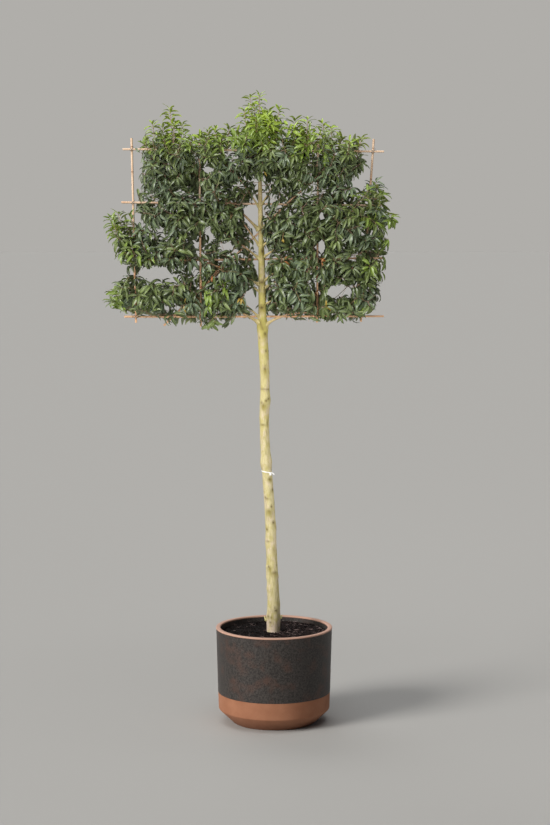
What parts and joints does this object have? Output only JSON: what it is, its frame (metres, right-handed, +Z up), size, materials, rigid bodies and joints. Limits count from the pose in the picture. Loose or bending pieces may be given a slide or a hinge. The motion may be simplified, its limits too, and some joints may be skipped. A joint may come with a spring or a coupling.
{
  "type": "potted pleached portugal laurel",
  "caption": "Half-standard Portugal laurel with a clear stem and a flat crown trained on a frame of bamboo canes, planted in a round glazed clay pot.",
  "frame": {"origin": "centre of the pot's flat underside", "axes": "+Z up along the trunk, X along the flat crown, the crown's front faces -Y"},
  "size_m": [1.8233, 0.7256, 3.9072],
  "materials": {
    "pot_clay": "matt terracotta with a dark mottled glaze band",
    "compost": "rough, crumbly",
    "bark": "smooth pale olive bark with knots",
    "bough_bark": "smooth tan bark",
    "bamboo": "satin bamboo with nodes",
    "tie_white": "smooth white plastic",
    "foliage": "waxy green leaves",
    "young_foliage": "waxy bright green leaves"
  },
  "bodies": {
    "root": {"pot": "pot_clay", "compost": "compost", "trunk": "bark", "trunk_tie": "tie_white", "cane_across_1": "bamboo", "cane_across_2": "bamboo", "cane_across_3": "bamboo", "cane_across_4": "bamboo", "cane_upright_1": "bamboo", "cane_upright_2": "bamboo", "cane_upright_3": "bamboo", "cane_upright_4": "bamboo", "cane_diagonal": "bamboo", "bough_bottom_left_outer": "bough_bark", "bough_bottom_left_inner": "bough_bark", "bough_lower_left_outer": "bough_bark", "bough_lower_left_inner": "bough_bark", "bough_middle_left_outer": "bough_bark", "bough_middle_left_inner": "bough_bark", "bough_upper_left_outer": "bough_bark", "bough_upper_left_inner": "bough_bark", "bough_bottom_right_outer": "bough_bark", "bough_bottom_right_inner": "bough_bark", "bough_lower_right_outer": "bough_bark", "bough_lower_right_inner": "bough_bark", "bough_middle_right_outer": "bough_bark", "bough_middle_right_inner": "bough_bark", "bough_upper_right_outer": "bough_bark", "bough_upper_right_inner": "bough_bark", "leaves_bottom_left_outer": "foliage", "leaves_bottom_left_inner": "foliage", "leaves_lower_left_outer": "foliage", "leaves_lower_left_inner": "foliage", "leaves_middle_left_outer": "foliage", "leaves_middle_left_inner": "foliage", "leaves_upper_left_outer": "foliage", "leaves_upper_left_inner": "foliage", "leaves_bottom_right_outer": "foliage", "leaves_bottom_right_inner": "foliage", "leaves_lower_right_outer": "foliage", "leaves_lower_right_inner": "foliage", "leaves_middle_right_outer": "foliage", "leaves_middle_right_inner": "foliage", "leaves_upper_right_outer": "foliage", "leaves_upper_right_inner": "foliage", "leaves_top": "young_foliage"}
  },
  "joints": []
}
